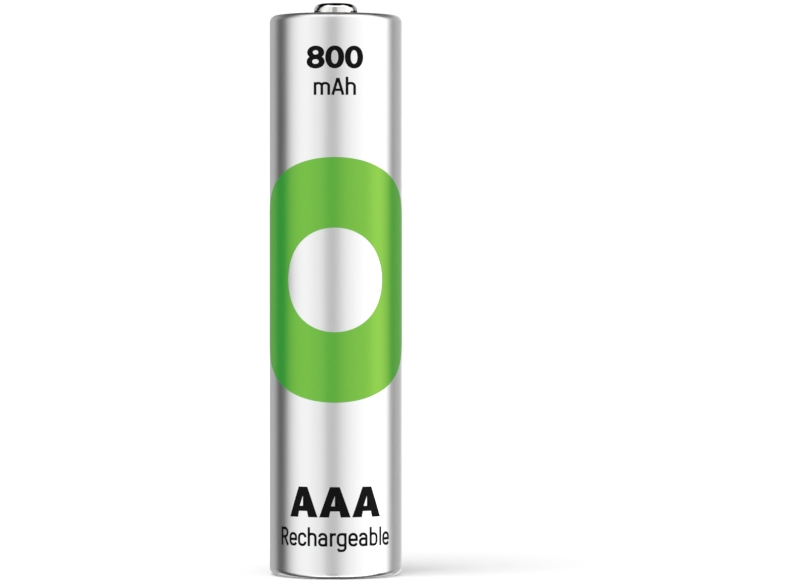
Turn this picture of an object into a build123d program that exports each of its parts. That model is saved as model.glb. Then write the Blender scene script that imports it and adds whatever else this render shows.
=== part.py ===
from build123d import *

import math
import os

# A rechargeable nickel-metal hydride cell of the slim R03 size, in millimetres.
# It stands on the middle of its flat negative end, +Z runs up through the positive
# nub, and the printed front of its label faces -Y.

# Driving dimensions
CELL_R = 5.15  # outside of the label
SHOULDER_Z = 43.48  # top of the label's upper fold
TIP_Z = 44.42  # top of the positive nub
NUB_R = 1.70

SHEET = 0.22  # nickel-plated steel of the can
LABEL = 0.08  # shrunk metallised film
FIT = 0.02  # running gap between the label and what it wraps
FILM_GAP = 0.015  # gap between thin layers inside

# Steel can: one drawn cup with a coined base, a bead groove and a crimped lip
CAN_R = CELL_R - LABEL - FIT
CAN_BORE_R = CAN_R - SHEET
BASE_R = 3.90  # flat middle of the base, the negative contact
BASE_STEP = 0.12  # how far the rim of the base stands back
BASE_EDGE_R = 0.44
GROOVE_R = 4.40
GROOVE_Z = 40.48  # where the wall starts to turn in
GROOVE_SHELF_Z = 41.28  # underside of the shelf that carries the gasket
CRIMP_Z = 43.20
CRIMP_EDGE_R = 0.46
LIP_R = 3.60

# Label and top washer
FOLD_EDGE_R = 0.54
LOWER_FOLD_R = 4.35
UPPER_FOLD_R = 3.95
WASHER_R = 4.65
WASHER_BORE_R = 2.20
WASHER_T = 0.18
WASHER_GAP = 0.01  # under the label's fold, and again over the crimped lip

# Closure: gasket, cap plate, positive cap and rubber valve
GASKET_R = 4.77
GASKET_T = 0.50
GASKET_CHAMFER = 0.16
GASKET_LOWER_BORE_R = 3.20
GASKET_UPPER_BORE_R = 3.40
PLATE_R = 4.35
PLATE_T = 0.40
VENT_R = 0.50
SEAT_R = 0.80
SEAT_H = 0.08
CAP_T = 0.25
FLANGE_R = 3.25
FLANGE_CORNER_R = 0.15
NUB_EDGE_R = 0.55
SLOT_COUNT = 3
SLOT_TURN = 180
SLOT_W = 1.10
SLOT_TOP_Z = 43.85
SLOT_CORNER_R = 0.25
WELD_T = 0.05  # gap that the weld spots hold open
CAP_WELDS = 4
CAP_WELD_R = 0.25
CAP_WELD_RING_R = 2.60
PLUG_R = 1.22
PLUG_EDGE_R = 0.25
PLUG_WAIST = 0.08

# Wound electrodes, from the inside out in one pitch
SEPARATOR_T = 0.11
POSITIVE_T = 0.62
COAT_T = 0.125  # each of the two alloy coats on the negative strip
STRIP_T = 0.06
HALF_TURNS = 5
ELECTRODE_Z = (1.05, 39.18)
SEPARATOR_Z = (0.55, 39.58)
END_TRIM = 14.0  # degrees that the positive plate stops short of each end of the roll

# Insulating discs
DISC_R = 4.65
DISC_T = 0.18
DISC_BORE_R = 0.70

# Positive tab
TAB_W = 2.00
TAB_T = 0.10
TAB_FOOT_Z = 35.03
TAB_BEND_Z = 40.63
TAB_BEND_R = 0.50
TAB_FAR_X = -2.30
TAB_END_X = -0.65
TAB_DEPTH = 0.25  # its outer face, measured out from the plate's inner face
TAB_WELDS = 2
TAB_WELD_R = 0.22
TAB_WELD_T = 0.03
TAB_WELD_PITCH = 0.60
TAPE_T = 0.08
TAPE_Z = (39.28, 40.08)

# Heights of the closure, stacked up from the groove's shelf
gasket_z = GROOVE_SHELF_Z + SHEET + FILM_GAP
plate_z = gasket_z + GASKET_T + FILM_GAP
plate_top = plate_z + PLATE_T
flange_z = plate_top + WELD_T
seat_top = plate_top + SEAT_H
crimp_under = CRIMP_Z - SHEET

# The spiral is half circles about two centres, half a pitch apart. Moving both
# centres by half of that puts the finished roll in the middle of the can.
negative_t = 2 * COAT_T + STRIP_T + 2 * FILM_GAP
pitch = 2 * SEPARATOR_T + POSITIVE_T + negative_t + 4 * FILM_GAP
half_pitch = pitch / 2
positive_at = SEPARATOR_T + FILM_GAP
outer_separator_at = positive_at + POSITIVE_T + FILM_GAP
negative_at = outer_separator_at + SEPARATOR_T + FILM_GAP
even_centre = Vector(0, -half_pitch / 2)
odd_centre = Vector(half_pitch, -half_pitch / 2)
roll_edge = CAN_BORE_R - FILM_GAP - odd_centre.length
core_r = roll_edge - (HALF_TURNS - 2) * half_pitch - negative_at - negative_t

# The tab's straight leg stands in the second turn of the positive plate.
tab_x = even_centre.X + core_r + positive_at + pitch + TAB_DEPTH


def turned(outline):
    """Solid of revolution about Z from a closed outline drawn as (radius, height)."""
    return revolve(make_face(Plane.XZ * outline), Axis.Z)


def turned_sheet(path, thickness):
    """Sheet-metal revolution: the path is its outside, and the metal lies to the left of it."""
    return turned(offset(path, thickness, side=Side.LEFT))


def ring(bore_r, outer_r, z_low, thickness):
    """Flat washer with its underside at z_low."""
    return Pos(0, 0, z_low) * extrude(Circle(outer_r) - Circle(bore_r), thickness)


def around(count, radius, z_low, item):
    """Equal copies of an item on a circle, with the first one halfway between +X and +Y."""
    turns = [45 + 360 * i / count for i in range(count)]
    return [Rot(0, 0, a) * Pos(radius, 0, z_low) * item for a in turns]


def spiral_edge(radius, start, end):
    """Arcs of the winding at one distance out, from one winding angle to another."""
    arcs = []
    for half in range(math.floor(start / 180), math.ceil(end / 180)):
        first = max(start, 180 * half)
        last = min(end, 180 * (half + 1))
        centre = odd_centre if half % 2 else even_centre
        arcs.append(CenterArc(centre, radius + half * half_pitch, first, last - first))
    return arcs


def wound(layer_at, thickness, z_span, start=0.0, end=180.0 * HALF_TURNS):
    """One layer of the roll: a spiral band that starts layer_at out from the core."""
    inner = spiral_edge(core_r + layer_at, start, end)
    outer = spiral_edge(core_r + layer_at + thickness, start, end)
    ends = [Line(inner[0] @ 0, outer[0] @ 0), Line(inner[-1] @ 1, outer[-1] @ 1)]
    band = make_face(Curve() + inner + outer + ends)
    return Pos(0, 0, z_span[0]) * extrude(band, z_span[1] - z_span[0])


def make_can():
    outside = FilletPolyline(
        (0, 0),
        (BASE_R, 0),
        (BASE_R + 0.25, BASE_STEP),
        (CAN_R, BASE_STEP),
        (CAN_R, GROOVE_Z),
        (GROOVE_R, GROOVE_Z + 0.15),
        (GROOVE_R, GROOVE_SHELF_Z),
        (CAN_R, GROOVE_SHELF_Z),
        (CAN_R, CRIMP_Z),
        (LIP_R, CRIMP_Z),
        radius=[0.30, 0.10, BASE_EDGE_R, 0.35, 0.20, 0.20, 0.35, CRIMP_EDGE_R],
    )
    return turned_sheet(outside, SHEET)


def make_label():
    outside = FilletPolyline(
        (LOWER_FOLD_R, FIT),
        (CELL_R, FIT),
        (CELL_R, SHOULDER_Z),
        (UPPER_FOLD_R, SHOULDER_Z),
        radius=FOLD_EDGE_R,
    )
    return turned_sheet(outside, LABEL)


def make_washer():
    return ring(WASHER_BORE_R, WASHER_R, SHOULDER_Z - LABEL - WASHER_GAP - WASHER_T, WASHER_T)


def make_gasket():
    top = crimp_under - FILM_GAP
    groove_r = PLATE_R + FIT
    outline = Polyline(
        (GASKET_LOWER_BORE_R, gasket_z),
        (GASKET_R - GASKET_CHAMFER, gasket_z),
        (GASKET_R, gasket_z + GASKET_CHAMFER),
        (GASKET_R, top - GASKET_CHAMFER),
        (GASKET_R - GASKET_CHAMFER, top),
        (GASKET_UPPER_BORE_R, top),
        (GASKET_UPPER_BORE_R, plate_top + FILM_GAP),
        (groove_r, plate_top + FILM_GAP),
        (groove_r, plate_z - FILM_GAP),
        (GASKET_LOWER_BORE_R, plate_z - FILM_GAP),
        close=True,
    )
    return turned(outline)


def make_sealant():
    bottom = gasket_z + 2 * GASKET_CHAMFER
    height = crimp_under - 2 * GASKET_CHAMFER - bottom
    return ring(GASKET_R + FILM_GAP, CAN_BORE_R - FILM_GAP, bottom, height)


def make_cap_plate():
    outline = FilletPolyline(
        (VENT_R, plate_z),
        (PLATE_R, plate_z),
        (PLATE_R, plate_top),
        (SEAT_R, plate_top),
        (SEAT_R - SEAT_H, seat_top),
        (VENT_R, seat_top),
        radius=[0.06, 0.06, 0.02, 0.03, 0.03, 0],
        close=True,
    )
    return turned(outline)


def make_terminal_cap():
    outside = FilletPolyline(
        (FLANGE_R, flange_z + CAP_T),
        (NUB_R, flange_z + CAP_T),
        (NUB_R, TIP_Z),
        (0, TIP_Z),
        radius=[FLANGE_CORNER_R, NUB_EDGE_R],
    )
    cap = turned_sheet(outside, CAP_T)
    window = FilletPolyline(
        (-SLOT_W / 2, flange_z + CAP_T),
        (SLOT_W / 2, flange_z + CAP_T),
        (SLOT_W / 2, SLOT_TOP_Z),
        (-SLOT_W / 2, SLOT_TOP_Z),
        radius=[0, 0, SLOT_CORNER_R, SLOT_CORNER_R],
        close=True,
    )
    slot = extrude(make_face(Plane.XZ * window), NUB_R + FLANGE_CORNER_R)
    for i in range(SLOT_COUNT):
        cap -= Rot(0, 0, SLOT_TURN + 360 * i / SLOT_COUNT) * slot
    return cap


def make_cap_welds():
    return around(CAP_WELDS, CAP_WELD_RING_R, plate_top, extrude(Circle(CAP_WELD_R), WELD_T))


def make_vent_plug():
    foot = seat_top + FILM_GAP
    head = TIP_Z - CAP_T - FILM_GAP
    middle = (foot + head) / 2
    outline = [
        Line((0, foot), (PLUG_R, foot)),
        ThreePointArc((PLUG_R, foot), (PLUG_R - PLUG_WAIST, middle), (PLUG_R, head - PLUG_EDGE_R)),
        CenterArc((PLUG_R - PLUG_EDGE_R, head - PLUG_EDGE_R), PLUG_EDGE_R, 0, 90),
        Line((PLUG_R - PLUG_EDGE_R, head), (0, head)),
        Line((0, head), (0, foot)),
    ]
    return turned(Curve() + outline)


def tab_block(width, thickness, z_span):
    """Upright block round the tab's straight leg."""
    centre = Pos(tab_x - TAB_T / 2, even_centre.Y, z_span[0])
    return centre * extrude(Rectangle(thickness, width), z_span[1] - z_span[0])


def make_tab():
    weld_face = plate_z - TAB_WELD_T - TAB_T
    path = FilletPolyline(
        (tab_x, TAB_FOOT_Z),
        (tab_x, TAB_BEND_Z),
        (TAB_FAR_X, TAB_BEND_Z),
        (TAB_FAR_X, weld_face),
        (TAB_END_X, weld_face),
        radius=TAB_BEND_R,
    )
    strip = make_face(Plane.XZ * offset(path, TAB_T, side=Side.LEFT))
    return Pos(0, even_centre.Y, 0) * extrude(strip, TAB_W / 2, both=True)


def make_tab_welds():
    nugget = extrude(Circle(TAB_WELD_R), TAB_WELD_T)
    first_x = TAB_FAR_X + TAB_BEND_R + TAB_WELD_R
    spots = [first_x + i * TAB_WELD_PITCH for i in range(TAB_WELDS)]
    return [Pos(x, even_centre.Y, plate_z - TAB_WELD_T) * nugget for x in spots]


def make_tab_tape():
    inside = tab_block(TAB_W + 2 * FIT, TAB_T + 2 * FIT, TAPE_Z)
    return tab_block(TAB_W + 2 * (FIT + TAPE_T), TAB_T + 2 * (FIT + TAPE_T), TAPE_Z) - inside


def make_upper_insulator():
    low = SEPARATOR_Z[1] + FILM_GAP
    disc = ring(DISC_BORE_R, DISC_R, low, DISC_T)
    slot = 2 * (2 * FIT + TAPE_T)
    return disc - tab_block(TAB_W + slot, TAB_T + slot, (low - 1, low + DISC_T + 1))


def make_lower_insulator():
    return ring(DISC_BORE_R, DISC_R, BASE_STEP + SHEET + FILM_GAP, DISC_T)


def make_positive():
    plate = wound(positive_at, POSITIVE_T, ELECTRODE_Z, END_TRIM, 180 * HALF_TURNS - END_TRIM)
    pocket = (TAB_FOOT_Z - 2 * FIT, ELECTRODE_Z[1] + 1)
    return plate - tab_block(TAB_W + 2 * FIT, TAB_T + 2 * FIT, pocket)


def make_negative_layers():
    strip_at = negative_at + COAT_T + FILM_GAP
    outer_at = strip_at + STRIP_T + FILM_GAP
    return {
        "negative_inner_coat": wound(negative_at, COAT_T, ELECTRODE_Z),
        "negative_strip": wound(strip_at, STRIP_T, ELECTRODE_Z),
        "negative_outer_coat": wound(outer_at, COAT_T, ELECTRODE_Z),
    }


nodes = {
    "steel_can": make_can(),
    "label_sleeve": make_label(),
    "top_washer": make_washer(),
    "sealing_gasket": make_gasket(),
    "gasket_sealant": make_sealant(),
    "cap_plate": make_cap_plate(),
    "terminal_cap": make_terminal_cap(),
    "cap_welds": make_cap_welds(),
    "vent_plug": make_vent_plug(),
    "positive_tab": make_tab(),
    "tab_welds": make_tab_welds(),
    "tab_tape": make_tab_tape(),
    "upper_insulator": make_upper_insulator(),
    "lower_insulator": make_lower_insulator(),
    "positive_plate": make_positive(),
    "inner_separator": wound(0, SEPARATOR_T, SEPARATOR_Z),
    "outer_separator": wound(outer_separator_at, SEPARATOR_T, SEPARATOR_Z),
} | make_negative_layers()

os.makedirs("parts", exist_ok=True)
for name, shape in nodes.items():
    solids = shape if isinstance(shape, list) else shape.solids()
    export_step(Compound(children=solids) if len(solids) > 1 else solids[0], f"parts/{name}.step")
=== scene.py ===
"""A slim rechargeable cell in a shrunk silver label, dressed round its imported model.

Sizes in the classes are in millimetres, and become metres where a mesh is made.
Azimuth 0 is the printed front of the label (-Y), and +90 degrees is the +X side.
"""

import logging
import math
import random
from dataclasses import dataclass
from enum import Enum
from typing import Any, Callable, Sequence

import bmesh
import bpy
from mathutils import Matrix, Vector


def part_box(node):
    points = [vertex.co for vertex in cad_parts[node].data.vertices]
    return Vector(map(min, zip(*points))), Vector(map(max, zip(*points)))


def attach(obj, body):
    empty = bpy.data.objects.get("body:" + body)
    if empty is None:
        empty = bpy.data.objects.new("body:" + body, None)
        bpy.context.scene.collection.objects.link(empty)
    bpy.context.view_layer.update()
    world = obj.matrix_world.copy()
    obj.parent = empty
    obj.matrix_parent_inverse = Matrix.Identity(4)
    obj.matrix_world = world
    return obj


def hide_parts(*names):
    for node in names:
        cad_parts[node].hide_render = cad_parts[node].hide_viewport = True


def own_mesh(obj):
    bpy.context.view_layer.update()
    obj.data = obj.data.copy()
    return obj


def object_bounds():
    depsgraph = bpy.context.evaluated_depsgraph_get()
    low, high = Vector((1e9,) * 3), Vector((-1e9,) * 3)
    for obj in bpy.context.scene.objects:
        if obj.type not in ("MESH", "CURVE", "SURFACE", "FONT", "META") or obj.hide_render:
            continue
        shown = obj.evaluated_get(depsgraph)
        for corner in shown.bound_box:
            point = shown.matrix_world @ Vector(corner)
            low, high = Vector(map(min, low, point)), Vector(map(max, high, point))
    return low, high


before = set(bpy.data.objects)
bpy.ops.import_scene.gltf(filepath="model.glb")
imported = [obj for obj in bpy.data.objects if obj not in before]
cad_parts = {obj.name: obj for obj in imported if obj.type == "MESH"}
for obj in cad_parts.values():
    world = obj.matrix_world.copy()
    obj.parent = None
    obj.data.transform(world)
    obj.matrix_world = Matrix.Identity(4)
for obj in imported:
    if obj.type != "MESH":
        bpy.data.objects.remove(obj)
cad_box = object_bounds()

MM = 0.001
CELL_BODY = "cell"

Point = tuple[float, float]
Fade = tuple[float, float]
Colour = tuple[float, float, float, float]
Push = Callable[[float, float, float, bool], Point]

log = logging.getLogger("cell")


# ---------------------------------------------------------------------------
# Node graphs


class Val:
    """A number socket that Python arithmetic can use, adding Math nodes as it goes."""

    def __init__(self, graph: "Graph", socket: bpy.types.NodeSocket) -> None:
        """Wraps one output socket of a graph."""
        self.graph = graph
        self.socket = socket

    def math(self, operation: str, *others: "Val | float") -> "Val":
        """Adds one Math node whose first input is self."""
        return self.graph.math(operation, self, *others)

    def __add__(self, other: "Val | float") -> "Val":
        """self + other."""
        return self.math("ADD", other)

    def __radd__(self, other: float) -> "Val":
        """other + self."""
        return self.graph.math("ADD", other, self)

    def __sub__(self, other: "Val | float") -> "Val":
        """self - other."""
        return self.math("SUBTRACT", other)

    def __rsub__(self, other: float) -> "Val":
        """other - self."""
        return self.graph.math("SUBTRACT", other, self)

    def __mul__(self, other: "Val | float") -> "Val":
        """self * other."""
        return self.math("MULTIPLY", other)

    def __rmul__(self, other: float) -> "Val":
        """other * self."""
        return self.graph.math("MULTIPLY", other, self)

    def __truediv__(self, other: "Val | float") -> "Val":
        """self / other."""
        return self.math("DIVIDE", other)

    def __rtruediv__(self, other: float) -> "Val":
        """other / self."""
        return self.graph.math("DIVIDE", other, self)

    def __abs__(self) -> "Val":
        """The size of self without its sign."""
        return self.math("ABSOLUTE")

    def clamped(self) -> "Val":
        """self held between 0 and 1."""
        return self.graph.math("ADD", self, 0.0, clamp=True)

    def ramp(self, low: float, high: float) -> "Val":
        """Smooth step of self.

        Args:
            low: where the result is 0.
            high: where the result is 1. It may be below low.

        Returns:
            A mask from 0 to 1.
        """
        settings = {"interpolation_type": "SMOOTHSTEP"}
        inputs = {"Value": self, "From Min": low, "From Max": high}
        return Val(self.graph, self.graph.add("ShaderNodeMapRange", settings, inputs).outputs[0])

    def band(self, start: float, full: float, fade: float, end: float) -> "Val":
        """Smooth mask that is 1 from full to fade, and 0 below start and above end."""
        return self.ramp(start, full) * self.ramp(end, fade)


class Graph:
    """The node tree of one material or of the world, emptied and built again."""

    def __init__(self, tree: bpy.types.NodeTree) -> None:
        """Empties the tree."""
        self.tree = tree
        tree.nodes.clear()

    def add(self, kind: str, settings: dict[str, Any], inputs: dict[Any, Any]) -> bpy.types.Node:
        """Adds one node.

        Args:
            kind: the node's type name.
            settings: its own properties, set before its sockets. "stops" fills a colour ramp.
            inputs: values or links, by socket name or number.

        Returns:
            The new node.
        """
        node = self.tree.nodes.new(kind)
        for key, value in settings.items():
            if key == "stops":
                self._set_stops(node.color_ramp, value)
            else:
                setattr(node, key, value)
        for key, value in inputs.items():
            source = value.socket if isinstance(value, Val) else value
            if isinstance(source, bpy.types.NodeSocket):
                self.tree.links.new(source, node.inputs[key])
            else:
                node.inputs[key].default_value = source
        return node

    @staticmethod
    def _set_stops(ramp: bpy.types.ColorRamp, stops: Sequence[tuple[float, Colour]]) -> None:
        """Fills a colour ramp with (position, colour) stops.

        Args:
            ramp: the node's ramp.
            stops: its stops, from 0 to 1.
        """
        while len(ramp.elements) < len(stops):
            ramp.elements.new(1.0)
        for element, (position, colour) in zip(ramp.elements, stops):
            element.position = position
            element.color = colour

    def math(self, operation: str, *terms: "Val | float", clamp: bool = False) -> Val:
        """Adds one Math node.

        Args:
            operation: the node's operation, such as "FLOOR".
            terms: its inputs, in order.
            clamp: whether the result is held between 0 and 1.

        Returns:
            The node's result.
        """
        settings = {"operation": operation, "use_clamp": clamp}
        return Val(self, self.add("ShaderNodeMath", settings, dict(enumerate(terms))).outputs[0])

    def vector(self, operation: str, *terms: Any) -> bpy.types.NodeSocket:
        """Adds one Vector Math node and returns its vector result."""
        node = self.add("ShaderNodeVectorMath", {"operation": operation}, dict(enumerate(terms)))
        return node.outputs["Vector"]

    def blend(self, share: "Val | float", first: Any, second: Any) -> bpy.types.NodeSocket:
        """Mixes two colours.

        Args:
            share: how much of the second colour shows, from 0 to 1.
            first: a colour or a colour socket.
            second: a colour or a colour socket.

        Returns:
            The mixed colour.
        """
        settings = {"data_type": "RGBA", "blend_type": "MIX"}
        return self.add("ShaderNodeMix", settings, {0: share, 6: first, 7: second}).outputs[2]

    def place(self) -> "Place":
        """The point being shaded, in the cell's own frame and in millimetres.

        Returns:
            The point, and the graph that reads it.
        """
        coords = self.add("ShaderNodeTexCoord", {}, {}).outputs["Object"]
        inputs = {0: coords, "Scale": 1 / MM}
        scaled = self.add("ShaderNodeVectorMath", {"operation": "SCALE"}, inputs).outputs["Vector"]
        return Place(self, scaled)

    def noise(self, at: bpy.types.NodeSocket, scale: float, detail: float = 3.0, rough: float = 0.5) -> Val:
        """Smooth noise around 0.5.

        Args:
            at: where the noise is read, in millimetres.
            scale: cycles per millimetre.
            detail: octaves of finer noise.
            rough: how strong the finer octaves are.

        Returns:
            The noise value.
        """
        inputs = {"Vector": at, "Scale": scale, "Detail": detail, "Roughness": rough}
        return Val(self, self.add("ShaderNodeTexNoise", {}, inputs).outputs[0])

    def cells(self, at: bpy.types.NodeSocket, scale: float, feature: str = "F1") -> Val:
        """Voronoi distance at a point, with scale cells per millimetre."""
        node = self.add("ShaderNodeTexVoronoi", {"feature": feature}, {"Vector": at, "Scale": scale})
        return Val(self, node.outputs["Distance"])

    def bump(self, height: Val, depth: float) -> bpy.types.NodeSocket:
        """Surface relief.

        Args:
            height: relief, with 1 as the full depth.
            depth: full depth in millimetres.

        Returns:
            The bent normal.
        """
        inputs = {"Strength": 1.0, "Distance": depth * MM, "Height": height}
        return self.add("ShaderNodeBump", {}, inputs).outputs["Normal"]


@dataclass
class Place:
    """A shaded point and the ways of reading it."""

    graph: Graph
    point: bpy.types.NodeSocket

    def axes(self) -> tuple[Val, Val, Val]:
        """The point's x, y and z."""
        parts = self.graph.add("ShaderNodeSeparateXYZ", {}, {0: self.point}).outputs
        return tuple(Val(self.graph, part) for part in parts)

    def join(self, *parts: "Val | float") -> bpy.types.NodeSocket:
        """A vector of three numbers."""
        return self.graph.add("ShaderNodeCombineXYZ", {}, dict(enumerate(parts))).outputs[0]

    def azimuth(self) -> Val:
        """Angle round the cell's axis, in radians, 0 at the front."""
        x, y, _ = self.axes()
        return x.math("ARCTAN2", 0.0 - y)

    def radius(self) -> Val:
        """Distance from the cell's axis."""
        x, y, _ = self.axes()
        return (x * x + y * y).math("SQRT")

    def stretched(self, x: float, y: float, z: float) -> bpy.types.NodeSocket:
        """The point with each axis scaled, which lengthens a texture along the small ones."""
        return self.graph.vector("MULTIPLY", self.point, (x, y, z))


# ---------------------------------------------------------------------------
# Finishes


@dataclass(frozen=True)
class Finish:
    """A surface finish: a named material and the record's slot that it belongs to."""

    name: str
    slot: str
    colour: Colour

    def material(self) -> bpy.types.Material:
        """The finish's material, made once and shared.

        Returns:
            The material, by its name.
        """
        found = bpy.data.materials.get(self.name)
        if found:
            return found
        made = bpy.data.materials.new(self.name)
        made.use_nodes = True
        graph = Graph(made.node_tree)
        graph.add("ShaderNodeOutputMaterial", {}, {"Surface": self.surface(graph, graph.place())})
        made.diffuse_color = self.colour
        return made

    def surface(self, graph: Graph, place: Place) -> bpy.types.NodeSocket:
        """The finish's shader."""
        return graph.add("ShaderNodeBsdfPrincipled", {}, self.sockets(graph, place)).outputs[0]

    def sockets(self, graph: Graph, place: Place) -> dict[str, Any]:
        """What goes into the shader's sockets."""
        raise NotImplementedError

    def shade(self, factor: float) -> Colour:
        """The finish's colour made lighter or darker by a factor."""
        red, green, blue, alpha = self.colour
        return (min(1.0, red * factor), min(1.0, green * factor), min(1.0, blue * factor), alpha)


@dataclass(frozen=True)
class SatinFilm(Finish):
    """Metallised polymer film, shrunk on: satin, with faint draw lines and a fine orange peel."""

    height: float = 43.5
    upper_fold: float = 0.7
    lower_fold: Fade = (0.62, 0.3)
    roughness: float = 0.32
    milk: float = 0.06
    gloss: float = 0.13

    def sockets(self, graph: Graph, place: Place) -> dict[str, Any]:
        """Metal with a slightly uneven sheen, milkier in the upper fold and tighter in the lower.

        The upper fold's colour is also lightened a little, as a painted highlight.

        Args:
            graph: the finish's node graph.
            place: the point being shaded.

        Returns:
            Values and links, by the shader's socket name.
        """
        _, _, z = place.axes()
        lines = graph.noise(place.stretched(6.0, 6.0, 0.12), 1.0, 2.0)
        peel = graph.noise(place.point, 1.6, 3.0)
        grain = graph.noise(place.point, 14.0, 2.0)
        # upper-fold mask: a milkier sheen there, and a painted highlight that lightens the colour
        upper = z.ramp(self.height - self.upper_fold, self.height)
        lower = z.ramp(*self.lower_fold)
        haze = graph.noise(place.stretched(1.0, 1.0, 0.4), 0.35, 2.0)
        rough = self.roughness + (lines - 0.5) * 0.03 + (haze - 0.5) * 0.04 + (grain - 0.5) * 0.03
        silver = graph.blend((grain * 0.5 + lines * 0.5).clamped(), self.shade(0.97), self.shade(1.03))
        relief = peel * 0.7 + lines * 0.2 + grain * 0.1
        return {
            # painted highlight: the colour is lightened towards brighter silver in the upper fold
            "Base Color": graph.blend(upper * 0.25, silver, self.shade(1.05)),
            "Metallic": 1.0,
            "Roughness": rough + upper * self.milk - lower * self.gloss,
            "Normal": graph.bump(relief, 0.0035),
        }


@dataclass(frozen=True)
class PrintedInk(Finish):
    """Gravure ink on the film."""

    roughness: float = 0.5
    shine: float = 0.08

    def sockets(self, graph: Graph, place: Place) -> dict[str, Any]:
        """Opaque ink with a faint uneven lay-down.

        Args:
            graph: the finish's node graph.
            place: the point being shaded.

        Returns:
            Values and links, by the shader's socket name.
        """
        lay = graph.noise(place.point, 2.2, 4.0)
        grain = graph.noise(place.point, 18.0, 2.0)
        tone = graph.blend((lay * 0.6 + grain * 0.4).clamped(), self.shade(0.92), self.shade(1.08))
        return {
            "Base Color": tone,
            "Roughness": self.roughness + (grain - 0.5) * 0.06,
            "Specular IOR Level": self.shine,
            "Normal": graph.bump(lay * 0.7 + grain * 0.3, 0.002),
        }


@dataclass(frozen=True)
class ClearInk(PrintedInk):
    """Half-clear ink, with the film's own sheen coming through it."""

    glow: Colour = (0.56, 0.72, 0.09, 1.0)
    cover: float = 0.65
    sheen: float = 0.32

    def surface(self, graph: Graph, place: Place) -> bpy.types.NodeSocket:
        """The ink's colour mixed with the metal behind it.

        Args:
            graph: the finish's node graph.
            place: the point being shaded.

        Returns:
            The mixed shader.
        """
        body = super().surface(graph, place)
        peel = graph.noise(place.point, 1.6, 3.0)
        grain = graph.noise(place.point, 14.0, 2.0)
        red, green, blue, alpha = self.glow
        metal = {
            "Base Color": graph.blend(grain, (red * 0.95, green * 0.95, blue, alpha), self.glow),
            "Metallic": 1.0,
            "Roughness": self.sheen + (grain - 0.5) * 0.05,
            "Normal": graph.bump(peel, 0.003),
        }
        shine = graph.add("ShaderNodeBsdfPrincipled", {}, metal).outputs[0]
        return graph.add("ShaderNodeMixShader", {}, {0: self.cover, 1: shine, 2: body}).outputs[0]


@dataclass(frozen=True)
class NickelPlate(Finish):
    """Bright nickel over drawn steel, with turning marks, light scratches and rubbed patches."""

    roughness: float = 0.1
    rings: float = 1.0

    def sockets(self, graph: Graph, place: Place) -> dict[str, Any]:
        """Metal with fine rings about the axis and scratches across them.

        Args:
            graph: the finish's node graph.
            place: the point being shaded.

        Returns:
            Values and links, by the shader's socket name.
        """
        radius = place.radius()
        _, _, z = place.axes()
        turning = graph.noise(place.join(radius, z, 0.0), 26.0, 3.0)
        across = graph.noise(place.stretched(0.9, 16.0, 9.0), 1.4, 2.0).ramp(0.64, 0.72)
        smudge = graph.noise(place.point, 0.7, 3.0)
        rough = self.roughness + (turning - 0.5) * 0.06 * self.rings + across * 0.1
        tone = graph.blend(smudge.ramp(0.3, 0.8), self.shade(1.04), self.shade(0.93))
        return {
            "Base Color": graph.blend(across * 0.3, tone, self.shade(0.8)),
            "Metallic": 1.0,
            "Roughness": rough + smudge.ramp(0.5, 0.8) * 0.05,
            "Normal": graph.bump(turning * self.rings + across * -0.6, 0.0015),
        }


@dataclass(frozen=True)
class PressedFibre(Finish):
    """Matt pressed board or nonwoven: short fibres lying every way."""

    scale: float = 5.0
    depth: float = 0.012

    def sockets(self, graph: Graph, place: Place) -> dict[str, Any]:
        """Fibres from two stretched noises, crossed.

        Args:
            graph: the finish's node graph.
            place: the point being shaded.

        Returns:
            Values and links, by the shader's socket name.
        """
        first = graph.noise(place.stretched(4.0, 0.7, 0.7), self.scale, 3.0)
        second = graph.noise(place.stretched(0.7, 4.0, 2.2), self.scale, 3.0)
        fleck = graph.noise(place.point, self.scale * 0.6, 4.0)
        fibre = first.math("MAXIMUM", second)
        tone = graph.blend(fibre.ramp(0.45, 0.8), self.shade(0.86), self.shade(1.05))
        return {
            "Base Color": graph.blend(fleck.ramp(0.58, 0.75) * 0.3, tone, self.shade(0.75)),
            "Roughness": 0.82 + (fleck - 0.5) * 0.1,
            "Normal": graph.bump(fibre * 0.8 + fleck * 0.2, self.depth),
        }


@dataclass(frozen=True)
class Moulded(Finish):
    """Moulded nylon or rubber, or punched sheet: a fine spark-eroded skin with flow marks."""

    roughness: float = 0.5
    grain: float = 9.0
    depth: float = 0.006
    through: float = 0.0

    def sockets(self, graph: Graph, place: Place) -> dict[str, Any]:
        """Plain skin with grain, slow shade changes and a few pits.

        Args:
            graph: the finish's node graph.
            place: the point being shaded.

        Returns:
            Values and links, by the shader's socket name.
        """
        flow = graph.noise(place.stretched(1.0, 1.0, 0.5), 0.8, 3.0)
        grain = graph.noise(place.point, self.grain, 3.0)
        pits = graph.cells(place.point, self.grain * 0.35).ramp(0.12, 0.02)
        tone = graph.blend(flow.ramp(0.3, 0.7), self.shade(0.93), self.shade(1.05))
        return {
            "Base Color": graph.blend(pits * 0.4, tone, self.shade(0.7)),
            "Roughness": self.roughness + (grain - 0.5) * 0.14,
            "Subsurface Weight": self.through,
            "Subsurface Radius": (0.0004, 0.0004, 0.0003),
            "Normal": graph.bump(grain - pits * 0.6, self.depth),
        }


@dataclass(frozen=True)
class Tar(Finish):
    """Bitumen film, brushed on and tacky."""

    def sockets(self, graph: Graph, place: Place) -> dict[str, Any]:
        """Black film with brush drag round the ring.

        Args:
            graph: the finish's node graph.
            place: the point being shaded.

        Returns:
            Values and links, by the shader's socket name.
        """
        drag = graph.noise(place.stretched(0.8, 0.8, 7.0), 2.4, 4.0)
        blister = graph.cells(place.point, 2.6, "SMOOTH_F1")
        return {
            "Base Color": graph.blend(drag, self.shade(0.7), self.shade(1.8)),
            "Roughness": 0.22 + drag * 0.25,
            "Normal": graph.bump(drag * 0.6 + blister * 0.4, 0.02),
        }


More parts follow.
